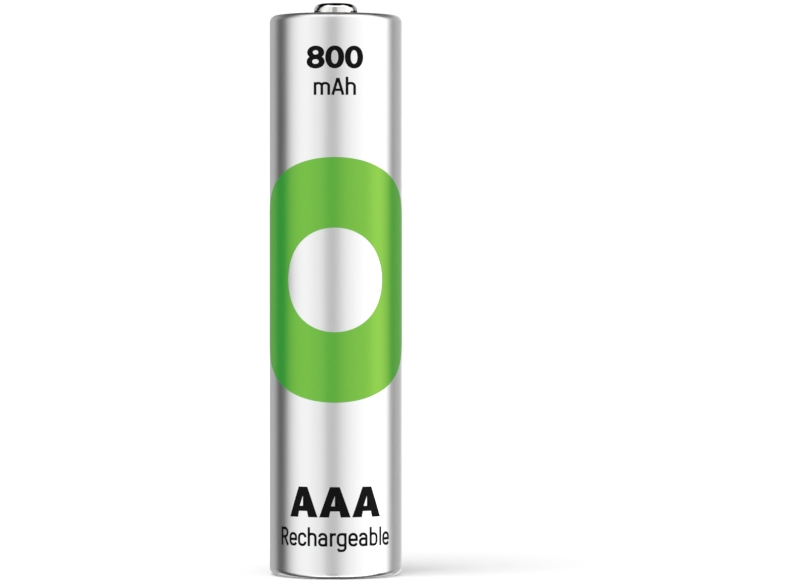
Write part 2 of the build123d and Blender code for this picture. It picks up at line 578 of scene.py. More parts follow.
@dataclass(frozen=True)
class RolledStrip(Finish):
    """Thin rolled strip: long rolling lines, with punched holes where it carries paste."""

    roughness: float = 0.28
    hole_pitch: float = 0.0
    hole_share: float = 0.33
    hole_edge: float = 0.03

    def sockets(self, graph: Graph, place: Place) -> dict[str, Any]:
        """Metal with lines along the strip and, if perforated, a grid of holes in near-black painted shade.

        Args:
            graph: the finish's node graph.
            place: the point being shaded.

        Returns:
            Values and links, by the shader's socket name.
        """
        lines = graph.noise(place.stretched(14.0, 14.0, 0.5), 1.0, 3.0)
        stain = graph.noise(place.point, 0.9, 4.0)
        tone = graph.blend(stain.ramp(0.35, 0.75), self.shade(1.05), self.shade(0.82))
        height = lines
        if self.hole_pitch:
            hole = self._holes(place)
            # painted shade: each hole is a near-black disc of colour, not an opening
            tone = graph.blend(hole, tone, (0.012, 0.012, 0.013, 1.0))
            height = lines * 0.1 - hole
        return {
            "Base Color": tone,
            "Metallic": 1.0,
            "Roughness": self.roughness + (lines - 0.5) * 0.16,
            "Normal": graph.bump(height, 0.004),
        }

    def _holes(self, place: Place) -> Val:
        """Mask of round holes on a staggered grid round the winding.

        Args:
            place: the point being shaded.

        Returns:
            1 inside a hole and 0 between them.
        """
        _, _, z = place.axes()
        height = z / self.hole_pitch
        along = place.azimuth() * place.radius() / self.hole_pitch + height.math("FLOOR") * 0.5
        across = along.math("FRACT") - 0.5
        upward = height.math("FRACT") - 0.5
        reach = (across * across + upward * upward).math("SQRT")
        return reach.ramp(self.hole_share + self.hole_edge, self.hole_share - self.hole_edge)


@dataclass(frozen=True)
class Paste(Finish):
    """Powder pressed into an electrode: matt grains with glints and calender marks."""

    fleck: Colour = (0.3, 0.3, 0.3, 1.0)
    grains: float = 11.0

    def sockets(self, graph: Graph, place: Place) -> dict[str, Any]:
        """Dark grains with brighter metal showing between them.

        Args:
            graph: the finish's node graph.
            place: the point being shaded.

        Returns:
            Values and links, by the shader's socket name.
        """
        grain = graph.cells(place.point, self.grains)
        cloud = graph.noise(place.point, 1.3, 4.0)
        glint = graph.noise(place.point, self.grains * 1.7, 2.0).ramp(0.63, 0.7)
        roll = graph.noise(place.stretched(0.6, 0.6, 9.0), 1.0, 2.0)
        tone = graph.blend(cloud.ramp(0.3, 0.7), self.shade(0.8), self.shade(1.25))
        return {
            "Base Color": graph.blend(glint, tone, self.fleck),
            "Metallic": glint * 0.9,
            "Roughness": 0.85 - glint * 0.45 + (roll - 0.5) * 0.1,
            "Normal": graph.bump(grain * 0.7 + roll * 0.3, 0.02),
        }


@dataclass(frozen=True)
class WeldSpot(Finish):
    """Resistance weld: a heat-tinted nugget with a dull rim."""

    def sockets(self, graph: Graph, place: Place) -> dict[str, Any]:
        """Metal that changes from straw to blue-grey in patches.

        Args:
            graph: the finish's node graph.
            place: the point being shaded.

        Returns:
            Values and links, by the shader's socket name.
        """
        heat = graph.noise(place.point, 3.4, 3.0)
        pit = graph.noise(place.point, 16.0, 3.0)
        stops = [(0.3, self.colour), (0.52, (0.42, 0.3, 0.16, 1.0)), (0.7, (0.12, 0.15, 0.24, 1.0))]
        tint = graph.add("ShaderNodeValToRGB", {"stops": stops}, {0: heat}).outputs["Color"]
        return {
            "Base Color": tint,
            "Metallic": 1.0,
            "Roughness": 0.34 + (pit - 0.5) * 0.3,
            "Normal": graph.bump(pit, 0.006),
        }


class Dress(Enum):
    """The finishes used on this cell."""

    FILM = SatinFilm("label_silver_film", "label_film", (0.9, 0.9, 0.905, 1.0))
    GREEN = ClearInk("label_green_ink", "label_film", (0.0, 0.385, 0.045, 1.0))
    BLACK = PrintedInk("label_black_ink", "label_film", (0.0025, 0.0025, 0.0028, 1.0))
    NUB = NickelPlate("nub_bright_nickel", "nickel_plate", (0.86, 0.85, 0.83, 1.0), roughness=0.07)
    CAN = NickelPlate("can_nickel", "nickel_plate", (0.74, 0.72, 0.68, 1.0), roughness=0.2, rings=1.6)
    WASHER = PressedFibre("washer_white_board", "white_washer", (0.86, 0.86, 0.84, 1.0))
    SEPARATOR = PressedFibre("separator_nonwoven", "separator", (0.84, 0.84, 0.81, 1.0), scale=8.0)
    NYLON = Moulded("gasket_nylon", "nylon", (0.8, 0.77, 0.66, 1.0), roughness=0.42, through=0.15)
    DISC = Moulded("disc_polypropylene", "insulator", (0.84, 0.84, 0.8, 1.0), roughness=0.38, through=0.1)
    TAPE = Moulded("tab_amber_tape", "tape", (0.62, 0.3, 0.05, 1.0), roughness=0.24, depth=0.002)
    RUBBER = Moulded("valve_black_rubber", "valve_rubber", (0.018, 0.018, 0.02, 1.0), roughness=0.66)
    TAR = Tar("gasket_bitumen", "bitumen", (0.012, 0.011, 0.01, 1.0))
    TAB = RolledStrip("tab_rolled_nickel", "nickel_strip", (0.72, 0.7, 0.66, 1.0))
    STRIP = RolledStrip("strip_perforated_steel", "nickel_strip", (0.6, 0.59, 0.56, 1.0), hole_pitch=1.5)
    POSITIVE = Paste("positive_hydroxide", "positive_paste", (0.035, 0.06, 0.04, 1.0), (0.4, 0.4, 0.36, 1.0))
    ALLOY = Paste("negative_alloy", "alloy_coat", (0.022, 0.022, 0.025, 1.0), (0.24, 0.24, 0.26, 1.0), 15.0)
    WELD = WeldSpot("weld_heat_tint", "weld_metal", (0.5, 0.48, 0.44, 1.0))


# ---------------------------------------------------------------------------
# Mesh tools


def rounded(points: Sequence[Point], radii: Sequence[float], steps: int = 12) -> list[Point]:
    """Path through points with an arc at each inner corner.

    Args:
        points: corners of the path, in order.
        radii: one radius for each inner corner, 0 for a sharp one.
        steps: chords in each arc.

    Returns:
        The path's points.
    """
    path = [points[0]]
    for before, corner, after, radius in zip(points, points[1:], points[2:], radii):
        at = Vector(corner)
        back = (Vector(before) - at).normalized()
        on = (Vector(after) - at).normalized()
        half = back.angle(on) / 2
        if radius <= 0:
            path.append(corner)
            continue
        centre = at + (back + on).normalized() * (radius / math.sin(half))
        first = at + back * (radius / math.tan(half)) - centre
        turn = first.angle_signed(at + on * (radius / math.tan(half)) - centre)
        for i in range(steps + 1):
            path.append(tuple(centre + Matrix.Rotation(-turn * i / steps, 2) @ first))
    return path + [points[-1]]


def beside(path: Sequence[Point], distance: float) -> list[Point]:
    """The path moved sideways.

    Args:
        path: points of a smooth path.
        distance: how far to the left of its direction.

    Returns:
        The moved points, one for each.
    """
    moved = []
    for i, point in enumerate(path):
        before = Vector(path[max(i - 1, 0)])
        after = Vector(path[min(i + 1, len(path) - 1)])
        here = Vector(point)
        sides = [v.normalized() for v in (here - before, after - here) if v.length > 1e-9]
        left = sum((Vector((-s.y, s.x)) for s in sides), Vector((0.0, 0.0))).normalized()
        square = Vector((-sides[0].y, sides[0].x))
        moved.append(tuple(here + left * (distance / max(left.dot(square), 0.2))))
    return moved


def finer(path: Sequence[Point], longest: float) -> list[Point]:
    """The path with its long runs divided.

    Args:
        path: points of the path.
        longest: longest chord that may stay.

    Returns:
        The same path with more points on it.
    """
    fine = [path[0]]
    for start, end in zip(path, path[1:]):
        parts = max(1, math.ceil((Vector(end) - Vector(start)).length / longest))
        fine += [tuple(Vector(start).lerp(Vector(end), i / parts)) for i in range(1, parts + 1)]
    return fine


def finish_mesh(bm: bmesh.types.BMesh, name: str, sharp: float = 32.0) -> bpy.types.Object:
    """Turns millimetre work into a smooth-shaded object in metres.

    Args:
        bm: the work, which is freed.
        name: the piece's name.
        sharp: edges that bend by more than this many degrees stay crisp.

    Returns:
        The new object, linked to the scene.
    """
    bmesh.ops.recalc_face_normals(bm, faces=bm.faces)
    bmesh.ops.scale(bm, vec=(MM, MM, MM), verts=bm.verts)
    mesh = bpy.data.meshes.new(name)
    bm.to_mesh(mesh)
    bm.free()
    mesh.shade_smooth()
    mesh.set_sharp_from_angle(angle=math.radians(sharp))
    made = bpy.data.objects.new(name, mesh)
    bpy.context.scene.collection.objects.link(made)
    return made


def still(azimuth: float, radius: float, height: float, outer: bool) -> Point:
    """A push that moves nothing."""
    return (0.0, 0.0)


@dataclass(frozen=True)
class Lathe:
    """Turns a closed section about the cell's axis, at even azimuths and any extra ones."""

    segments: int = 288
    extra: tuple[float, ...] = ()

    def azimuths(self) -> list[float]:
        """Where the section is repeated, in radians."""
        even = [2 * math.pi * i / self.segments for i in range(self.segments)]
        return sorted(even + [a % (2 * math.pi) for a in self.extra])

    def turn(self, outer: Sequence[Point], inner: Sequence[Point], push: Push = still) -> bmesh.types.BMesh:
        """Makes the turned body.

        Args:
            outer: (radius, height) points of the outer side.
            inner: points of the inner side, in the same direction.
            push: moves a point of either side, given its azimuth, radius, height and side.

        Returns:
            A closed mesh in millimetres.
        """
        section = [(p, True) for p in outer] + [(p, False) for p in reversed(inner)]
        bm = bmesh.new()
        rings = []
        for (radius, height), is_outer in section:
            if radius < 1e-6:
                rings.append([bm.verts.new((0.0, 0.0, height))])
                continue
            ring = []
            for azimuth in self.azimuths():
                out, up = push(azimuth, radius, height, is_outer)
                r = radius + out
                ring.append(bm.verts.new((r * math.sin(azimuth), -r * math.cos(azimuth), height + up)))
            rings.append(ring)
        for first, second in zip(rings, rings[1:] + rings[:1]):
            self._band(bm, first, second)
        return bm

    @staticmethod
    def _band(bm: bmesh.types.BMesh, first: list, second: list) -> None:
        """Joins two neighbouring rings, either of which may be a single point on the axis.

        Args:
            bm: the work.
            first: one ring's points.
            second: the next ring's points.
        """
        count = max(len(first), len(second))
        if count == 1:
            return
        for i in range(count):
            j = (i + 1) % count
            corners = [first[i % len(first)], first[j % len(first)]]
            corners += [second[j % len(second)], second[i % len(second)]]
            unique = list(dict.fromkeys(corners))
            if len(unique) > 2:
                bm.faces.new(unique)


def cut_away(body: bpy.types.Object, tool: bpy.types.Object) -> None:
    """Takes the tool's shape out of the body, then discards the tool.

    Args:
        body: the piece that is cut.
        tool: the shape taken out of it.
    """
    modifier = body.modifiers.new("cut", "BOOLEAN")
    modifier.operation = "DIFFERENCE"
    modifier.solver = "EXACT"
    modifier.object = tool
    shaped = bpy.data.meshes.new_from_object(body.evaluated_get(bpy.context.evaluated_depsgraph_get()))
    body.modifiers.clear()
    body.data = shaped
    bpy.data.objects.remove(tool)


def fit_out(piece: bpy.types.Object, body: str, dress: Dress, *nodes: str) -> None:
    """Gives a piece its finish and body, and reports it.

    Args:
        piece: the new object.
        body: the CAD body that it rides on.
        dress: its finish.
        nodes: CAD nodes that it stands for.
    """
    piece.data.materials.clear()
    piece.data.materials.append(dress.value.material())
    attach(piece, body)
    if nodes:
        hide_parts(*nodes)
    log.info("%s: %d faces, %s", piece.name, len(piece.data.polygons), dress.value.name)


# ---------------------------------------------------------------------------
# Sub-assemblies


@dataclass
class Sizes:
    """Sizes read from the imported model, in millimetres."""

    label_r: float
    label_low: float
    shoulder: float
    tip: float
    can_r: float
    can_top: float
    nub_floor: float
    flange_r: float

    @classmethod
    def read(cls) -> "Sizes":
        """Measures the CAD nodes.

        Returns:
            The sizes.
        """
        label_lo, label_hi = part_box("label_sleeve")
        _, can_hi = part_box("steel_can")
        cap_lo, cap_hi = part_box("terminal_cap")
        return cls(
            label_r=label_hi.x / MM,
            label_low=label_lo.z / MM,
            shoulder=label_hi.z / MM,
            tip=cap_hi.z / MM,
            can_r=can_hi.x / MM,
            can_top=can_hi.z / MM,
            nub_floor=cap_lo.z / MM,
            flange_r=cap_hi.x / MM,
        )


@dataclass
class Label:
    """The shrunk film round the can, folded over both ends and lapped at the back."""

    sizes: Sizes
    film: float = 0.08
    print_room: float = 0.012
    edge_r: float = 0.54
    upper_fold_r: float = 3.95
    lower_fold_r: float = 4.35
    lap_width: float = 2.6
    pucker: float = 0.007
    sag: float = 0.004
    waver: float = 0.035
    wave_sets: int = 9
    fewest_waves: int = 14
    most_waves: int = 64
    lowest_wave: float = 0.4
    seed: int = 7

    @property
    def ink_base(self) -> float:
        """Radius of the film's surface, with room for the print inside the cell's size."""
        return self.sizes.label_r - self.print_room

    def build(self) -> None:
        """Makes the film and dresses it."""
        low = self.sizes.label_low
        top = self.sizes.shoulder
        radius = self.ink_base
        corners = [(self.lower_fold_r, low), (radius, low), (radius, top), (self.upper_fold_r, top)]
        outer = finer(rounded(corners, [self.edge_r] * 2, 16), 1.2)
        inner = beside(outer, self.film - self.print_room)
        half_lap = self.lap_width / 2 / radius
        edges = [math.pi + side * half_lap + nudge for side in (-1, 1) for nudge in (-0.002, 0.002)]
        lathe = Lathe(extra=tuple(edges))
        piece = finish_mesh(lathe.turn(outer, inner, self._push()), "label_film", 40.0)
        fit_out(piece, CELL_BODY, Dress.FILM, "label_sleeve")

    def _push(self) -> Push:
        """The film's puckers in its folds, and the raised lap at the back.

        Returns:
            The push that the lathe gives every point of the film.
        """
        waves = self._waves()
        strength = math.sqrt(sum(tall * tall for _, _, tall in waves))
        half_lap = self.lap_width / 2 / self.ink_base
        middle = (self.sizes.shoulder + self.sizes.label_low) / 2
        fold_start = self.ink_base - self.edge_r

        def push(azimuth: float, radius: float, height: float, outer: bool) -> Point:
            """How far one point of the film moves, in millimetres.

            Args:
                azimuth: in radians from the front.
                radius: the point's distance from the axis.
                height: its height.
                outer: whether it is on the film's outer side.

            Returns:
                The moves outwards and upwards.
            """
            ripple = sum(tall * math.sin(count * azimuth + start) for count, start, tall in waves) / strength
            upper = height > middle
            fold_end = self.upper_fold_r if upper else self.lower_fold_r
            depth = min(1.0, max(0.0, (fold_start - radius) / (fold_start - fold_end)))
            side = 1.0 if upper else -1.0
            out = -self.waver * ripple * depth
            up = side * depth * (self.pucker * ripple - self.sag)
            if outer and abs(azimuth - math.pi) < half_lap and radius > fold_start:
                out += self.print_room
            return (out, up)

        return push

    def _waves(self) -> list[tuple[int, float, float]]:
        """The sets of waves that add up to a fold's ripple.

        Returns:
            For each set, how many waves go round, where they start and how tall they are.
        """
        draw = random.Random(self.seed)
        waves = []
        for _ in range(self.wave_sets):
            count = draw.randint(self.fewest_waves, self.most_waves)
            start = draw.uniform(0, 2 * math.pi)
            waves.append((count, start, draw.uniform(self.lowest_wave, 1.0)))
        return waves


@dataclass(frozen=True)
class Letter:
    """A light letter drawn with a round-cornered pen stroke, on capitals one unit high.

    Its room is the width that it takes up on the line. Each stroke is its points and the
    radii of its inner corners.
    """

    room: float
    strokes: tuple[tuple[tuple[Point, ...], tuple[float, ...]], ...]


LETTERS = {
    "A": Letter(0.68, (
        (((0.06, 0.0), (0.32, 0.98)), ()),
        (((0.6, 0.0), (0.34, 0.98)), ()),
        (((0.14, 0.29), (0.52, 0.29)), ()),
    )),
    "R": Letter(0.72, (
        (((0.12, 0.0), (0.12, 1.0)), ()),
        (((0.12, 0.94), (0.57, 0.94), (0.57, 0.47), (0.12, 0.47)), (0.22, 0.22)),
        (((0.36, 0.45), (0.61, 0.0)), ()),
    )),
    "a": Letter(0.64, (
        (((0.1, 0.52), (0.1, 0.68), (0.48, 0.68), (0.48, 0.0)), (0.15, 0.18)),
        (((0.48, 0.41), (0.09, 0.41), (0.09, 0.06), (0.4, 0.06), (0.5, 0.16)), (0.16, 0.16, 0.06)),
    )),
    "b": Letter(0.66, (
        (((0.12, 0.0), (0.12, 1.05)), ()),
        (((0.12, 0.5), (0.12, 0.68), (0.52, 0.68), (0.52, 0.06), (0.12, 0.06), (0.12, 0.22)),
         (0.15, 0.2, 0.2, 0.15)),
    )),
    "c": Letter(0.6, (
        (((0.5, 0.48), (0.5, 0.68), (0.09, 0.68), (0.09, 0.06), (0.5, 0.06), (0.5, 0.24)),
         (0.19, 0.2, 0.2, 0.17)),
    )),
    "e": Letter(0.62, (
        (((0.51, 0.17), (0.42, 0.06), (0.09, 0.06), (0.09, 0.68), (0.5, 0.68), (0.5, 0.36), (0.1, 0.36)),
         (0.1, 0.2, 0.2, 0.2, 0.0)),
    )),
    "g": Letter(0.66, (
        (((0.51, 0.22), (0.51, 0.06), (0.09, 0.06), (0.09, 0.68), (0.51, 0.68), (0.51, 0.5)),
         (0.15, 0.2, 0.2, 0.15)),
        (((0.51, 0.74), (0.51, -0.24), (0.12, -0.24), (0.12, -0.12)), (0.18, 0.08)),
    )),
    "h": Letter(0.66, (
        (((0.12, 0.0), (0.12, 1.05)), ()),
        (((0.12, 0.45), (0.12, 0.68), (0.52, 0.68), (0.52, 0.0)), (0.16, 0.18)),
    )),
    "l": Letter(0.28, ((((0.14, 0.0), (0.14, 1.05)), ()),)),
    "m": Letter(0.98, (
        (((0.12, 0.0), (0.12, 0.74)), ()),
        (((0.12, 0.45), (0.12, 0.68), (0.48, 0.68), (0.48, 0.0)), (0.15, 0.17)),
        (((0.48, 0.45), (0.48, 0.68), (0.84, 0.68), (0.84, 0.0)), (0.15, 0.17)),
    )),
    "r": Letter(0.42, (
        (((0.12, 0.0), (0.12, 0.74)), ()),
        (((0.12, 0.4), (0.12, 0.67), (0.4, 0.67)), (0.18,)),
    )),
}


@dataclass(frozen=True)
class Line:
    """One printed line, centred on the front: its foot's height, its own height and its width."""

    name: str
    words: str
    foot: float
    tall: float
    wide: float


@dataclass
class Print:
    """Everything printed on the film, as thin closed layers of ink."""

    base_r: float
    ink: float = 0.0105
    overlap: float = 0.0004
    sink: float = 0.004
    step: float = 0.14
    pen: float = 0.14
    turn_steps: int = 8
    stroke_step: float = 0.08
    ring_z: float = 22.98
    ring_r: float = 9.4
    window_r: float = 4.0
    capacity: Line = Line("capacity_figure", "800", foot=39.15, tall=1.75, wide=4.45)
    capacity_weight: float = 0.03
    unit: Line = Line("capacity_unit", "mAh", foot=37.13, tall=1.32, wide=3.28)
    size: Line = Line("size_mark", "AAA", foot=4.79, tall=2.33, wide=7.55)
    size_pitch: float = 2.56
    kind: Line = Line("type_mark", "Rechargeable", foot=2.57, tall=1.38, wide=9.58)

    def build(self) -> None:
        """Lays down the ring and the lettering."""
        self._ring()
        self._figure(self.capacity, self.capacity_weight)
        self._light(self.unit)
        self._size_mark(self.size, self.size_pitch)
        self._light(self.kind)

    def _wrap(self, bm: bmesh.types.BMesh, name: str, dress: Dress) -> None:
        """Thickens a flat layer and rolls it round the film.

        Args:
            bm: flat work with x along the film and y up the cell. Its z counts the layers
                where strokes lie across each other, so that no two tops are level.
            name: the piece's name.
            dress: its ink.
        """
        made = bmesh.ops.extrude_face_region(bm, geom=list(bm.faces), use_keep_orig=True)
        raised = {g for g in made["geom"] if isinstance(g, bmesh.types.BMVert)}
        for vert in bm.verts:
            top = self.ink + self.overlap * vert.co.z
            radius = self.base_r + (top if vert in raised else -self.sink)
            azimuth = vert.co.x / self.base_r
            vert.co = (radius * math.sin(azimuth), -radius * math.cos(azimuth), vert.co.y)
        fit_out(finish_mesh(bm, name, 50.0), CELL_BODY, dress)

    def _ring(self) -> None:
        """The broad green ring with its round window."""
        around, across = 360, 36
        bm = bmesh.new()
        rows = []
        for j in range(across + 1):
            r = self.window_r + (self.ring_r - self.window_r) * j / across
            turns = [2 * math.pi * i / around for i in range(around)]
            rows.append([bm.verts.new((r * math.cos(t), self.ring_z + r * math.sin(t), 0.0)) for t in turns])
        for low, high in zip(rows, rows[1:]):
            for i in range(around):
                k = (i + 1) % around
                bm.faces.new((low[i], high[i], high[k], low[k]))
        self._wrap(bm, "print_ring", Dress.GREEN)

    def _light(self, line: Line) -> None:
        """One line of light lettering.

        Args:
            line: what it says, and where. Its height is that of the capitals.
        """
        strokes: list[tuple[int, list[Point]]] = []
        at = 0.0
        for character in line.words:
            letter = LETTERS[character]
            for layer, (points, radii) in enumerate(letter.strokes):
                moved = [(at + x, y) for x, y in points]
                strokes.append((layer, finer(rounded(moved, radii, self.turn_steps), self.stroke_step)))
            at += letter.room
        left = min(x for _, path in strokes for x, _ in path) - self.pen / 2
        right = max(x for _, path in strokes for x, _ in path) + self.pen / 2
        squeeze = line.wide / (right - left)
        bm = bmesh.new()
        for layer, path in strokes:
            sides = []
            for side in (-0.5, 0.5):
                row = []
                for x, y in beside(path, self.pen * side):
                    across = (x - (left + right) / 2) * squeeze
                    row.append(bm.verts.new((across, line.foot + y * line.tall, layer)))
                sides.append(row)
            for i in range(len(path) - 1):
                bm.faces.new((sides[0][i], sides[0][i + 1], sides[1][i + 1], sides[1][i]))
        self._wrap(bm, line.name, Dress.BLACK)

    def _size_mark(self, line: Line, pitch: float) -> None:
        """The cell's size in heavy letters, each made of two mirrored halves.

        Args:
            line: what it says, and where. Every letter of it is an A.
            pitch: from one letter to the next.
        """
        half = (
            (0.0, 0.2), (0.29, 0.2), (0.37, 0.0), (1.0, 0.0), (0.31, 1.0), (0.0, 1.0),
            (0.0, 0.71), (0.245, 0.37), (0.0, 0.37),
        )
        gaps = len(line.words) - 1
        wide = line.wide - gaps * pitch
        bm = bmesh.new()
        for i in range(len(line.words)):
            middle = (i - gaps / 2) * pitch
            for side in (-1, 1):
                spots = [(middle + side * x * wide / 2, line.foot + y * line.tall, 0.0) for x, y in half]
                bm.faces.new([bm.verts.new(spot) for spot in spots])
        bmesh.ops.triangulate(bm, faces=bm.faces)
        bmesh.ops.remove_doubles(bm, verts=bm.verts, dist=1e-5)
        self._slice(bm, line.wide)
        self._wrap(bm, line.name, Dress.BLACK)

    def _slice(self, bm: bmesh.types.BMesh, wide: float) -> None:
        """Cuts flat work into upright strips, narrow enough to roll round the film.

        Args:
            bm: the flat work.
            wide: its width, centred on the front.
        """
        for i in range(1, math.ceil(wide / self.step)):
            geom = list(bm.verts) + list(bm.edges) + list(bm.faces)
            cut = (i * self.step - wide / 2, 0.0, 0.0)
            bmesh.ops.bisect_plane(bm, geom=geom, dist=1e-6, plane_co=cut, plane_no=(1.0, 0.0, 0.0))

    def _figure(self, line: Line, weight: float) -> None:
        """One line of heavy figures in the built-in typeface.

        Args:
            line: what it says, and where.
            weight: how far the strokes are thickened, as a share of the type size.
        """
        flat = self._outline(line.words, weight)
        across = [v.co.x for v in flat.vertices]
        up = [v.co.y for v in flat.vertices]
        bm = bmesh.new()
        bm.from_mesh(flat)
        bmesh.ops.remove_doubles(bm, verts=bm.verts, dist=1e-5)
        for vert in bm.verts:
            x = (vert.co.x - (min(across) + max(across)) / 2) * line.wide / (max(across) - min(across))
            y = (vert.co.y - min(up)) * line.tall / (max(up) - min(up))
            vert.co = (x, line.foot + y, 0.0)
        self._slice(bm, line.wide)
        self._wrap(bm, line.name, Dress.BLACK)

    @staticmethod
    def _outline(words: str, weight: float) -> bpy.types.Mesh:
        """Flat filled letters in the built-in typeface, one unit high.

        Args:
            words: what it says.
            weight: how far the strokes are thickened.

        Returns:
            The flat mesh.
        """
        curve = bpy.data.curves.new("letters", "FONT")
        curve.body = words
        curve.offset = weight
        curve.resolution_u = 8
        curve.space_character = 1.0 + weight
        holder = bpy.data.objects.new("letters", curve)
        bpy.context.scene.collection.objects.link(holder)
        flat = bpy.data.meshes.new_from_object(holder.evaluated_get(bpy.context.evaluated_depsgraph_get()))
        bpy.data.objects.remove(holder)
        bpy.data.curves.remove(curve)
        return flat


@dataclass
class Can:
    """The drawn can, whose base is the negative contact."""

    sizes: Sizes
    sheet: float = 0.22
    base_r: float = 3.9
    base_step: float = 0.12
    base_edge_r: float = 0.44
    base_slope: float = 0.25
    groove_r: float = 4.4
    groove_z: float = 40.48
    groove_slope: float = 0.15
    shelf_z: float = 41.28
    crimp_edge_r: float = 0.46
    lip_r: float = 3.6

    def build(self) -> None:
        """Turns the can from one path along its outside."""
        r = self.sizes.can_r
        top = self.sizes.can_top
        corners = [
            (0.0, 0.0), (self.base_r, 0.0),
            (self.base_r + self.base_slope, self.base_step), (r, self.base_step),
            (r, self.groove_z), (self.groove_r, self.groove_z + self.groove_slope),
            (self.groove_r, self.shelf_z), (r, self.shelf_z),
            (r, top), (self.lip_r, top),
        ]
        radii = [0.3, 0.1, self.base_edge_r, 0.35, 0.2, 0.2, 0.35, self.crimp_edge_r]
        outer = finer(rounded(corners, radii, 10), 1.6)
        inner = beside(outer, self.sheet)
        piece = finish_mesh(Lathe(192).turn(outer, inner), "can_shell", 35.0)
        fit_out(piece, CELL_BODY, Dress.CAN, "steel_can")


@dataclass
class Closure:
    """The positive cap, the white washer and the rubber valve under the nub."""

    sizes: Sizes
    cap_t: float = 0.25
    nub_r: float = 1.7
    nub_edge_r: float = 0.55
    foot_r: float = 0.15
    slots: int = 3
    slot_w: float = 1.1
    slot_sill: float = 0.004
    slot_top: float = 43.85
    slot_corner_r: float = 0.25
    washer_bore_r: float = 2.2
    washer_r: float = 4.65
    washer_edge_r: float = 0.03
    plug_r: float = 1.22
    plug_foot_edge: float = 0.05
    plug_head_edge: float = 0.25
    plug_head_r: float = 0.24
    plug_waist: float = 0.08
    plug_lift: float = 0.15

    def build(self) -> None:
        """Makes the three pieces."""
        self._cap()
        self._washer()
        self._plug()

    def _cap(self) -> None:
        """The pressed cap with its gas vents."""
        tip = self.sizes.tip
        shelf = self.sizes.nub_floor + self.cap_t
        corners = [(self.sizes.flange_r, shelf), (self.nub_r, shelf), (self.nub_r, tip), (0.0, tip)]
        outer = finer(rounded(corners, [self.foot_r, self.nub_edge_r], 14), 0.3)
        piece = finish_mesh(Lathe(192).turn(outer, beside(outer, self.cap_t)), "positive_cap")
        for i in range(self.slots):
            cut_away(piece, self._slot(math.pi + 2 * math.pi * i / self.slots, shelf))
        piece.data.shade_smooth()
        piece.data.set_sharp_from_angle(angle=math.radians(30))
        fit_out(piece, CELL_BODY, Dress.NUB, "terminal_cap")

    def _slot(self, azimuth: float, shelf: float) -> bpy.types.Object:
        """A cutter for one vent, from inside the nub's wall outwards.

        Args:
            azimuth: where the vent faces, in radians.
            shelf: height of the flange's top.

        Returns:
            The cutter.
        """
        half = self.slot_w / 2
        sill = shelf + self.slot_sill
        near, far = self.nub_r * 0.6, self.nub_r + self.foot_r * 1.4
        corners = [(-half, sill), (-half, self.slot_top), (half, self.slot_top), (half, sill)]
        outline = rounded(corners, [self.slot_corner_r] * 2, 10)
        bm = bmesh.new()
        ends = []
        for depth in (near, far):
            spots = []
            for across, height in outline:
                x = depth * math.sin(azimuth) + across * math.cos(azimuth)
                y = -depth * math.cos(azimuth) + across * math.sin(azimuth)
                spots.append(bm.verts.new((x, y, height)))
            ends.append(spots)
        count = len(outline)
        bm.faces.new(ends[0])
        bm.faces.new(reversed(ends[1]))
        for i in range(count):
            k = (i + 1) % count
            bm.faces.new((ends[0][i], ends[1][i], ends[1][k], ends[0][k]))
        return finish_mesh(bm, "vent_cutter")

    def _washer(self) -> None:
        """The insulating washer, with punched edges turned slightly over."""
        low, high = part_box("top_washer")
        bottom, top = low.z / MM, high.z / MM
        middle = (self.washer_bore_r + self.washer_r) / 2
        sides = []
        for edge in (self.washer_bore_r, self.washer_r):
            corners = [(middle, bottom), (edge, bottom), (edge, top), (middle, top)]
            sides.append(rounded(corners, [self.washer_edge_r] * 2, 4))
        inside, outside = sides
        piece = finish_mesh(Lathe(192).turn(outside[1:-1], inside), "washer_disc", 50.0)
        fit_out(piece, CELL_BODY, Dress.WASHER, "top_washer")

    def _plug(self) -> None:
        """The valve's rubber plug."""
        low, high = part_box("vent_plug")
        foot, head = low.z / MM, high.z / MM
        start, end = foot + self.plug_foot_edge, head - self.plug_head_edge
        side = []
        steps = 24
        for i in range(steps + 1):
            waist = self.plug_waist * math.sin(math.pi * i / steps)
            side.append((self.plug_r - waist, start + (end - start) * i / steps))
        outer = [(0.0, foot), (self.plug_r - self.plug_foot_edge, foot)] + side
        outer += rounded([side[-1], (self.plug_r, head), (0.0, head)], [self.plug_head_r], 8)[1:]
        piece = finish_mesh(Lathe(96).turn(outer, []), "valve_plug", 40.0)
        fit_out(piece, CELL_BODY, Dress.RUBBER, "vent_plug")
        keep = 1 - self.plug_lift / (head - foot)
        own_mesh(piece)


@dataclass
class Inside:
    """The sealed pieces, which keep their CAD shapes and get their finishes."""

    dresses: tuple[tuple[Dress, tuple[str, ...]], ...] = (
        (Dress.CAN, ("cap_plate",)),
        (Dress.NYLON, ("sealing_gasket",)),
        (Dress.TAR, ("gasket_sealant",)),
        (Dress.WELD, ("cap_welds", "tab_welds")),
        (Dress.TAB, ("positive_tab",)),
        (Dress.TAPE, ("tab_tape",)),
        (Dress.DISC, ("upper_insulator", "lower_insulator")),
        (Dress.POSITIVE, ("positive_plate",)),
        (Dress.SEPARATOR, ("inner_separator", "outer_separator")),
        (Dress.ALLOY, ("negative_inner_coat", "negative_outer_coat")),
        (Dress.STRIP, ("negative_strip",)),
    )

    def dress(self) -> None:
        """Puts each finish on its nodes."""
        for dress, names in self.dresses:
            for name in names:
                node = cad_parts[name]
                node.data.materials.clear()
                node.data.materials.append(dress.value.material())
                log.info("%s: %s", name, dress.value.name)


# ---------------------------------------------------------------------------
# Studio


@dataclass(frozen=True)
class Panel:
    """A soft panel in the wall round the cell. Its angles are in degrees."""

    azimuth: float
    half_width: float
    edge: float
    level: float


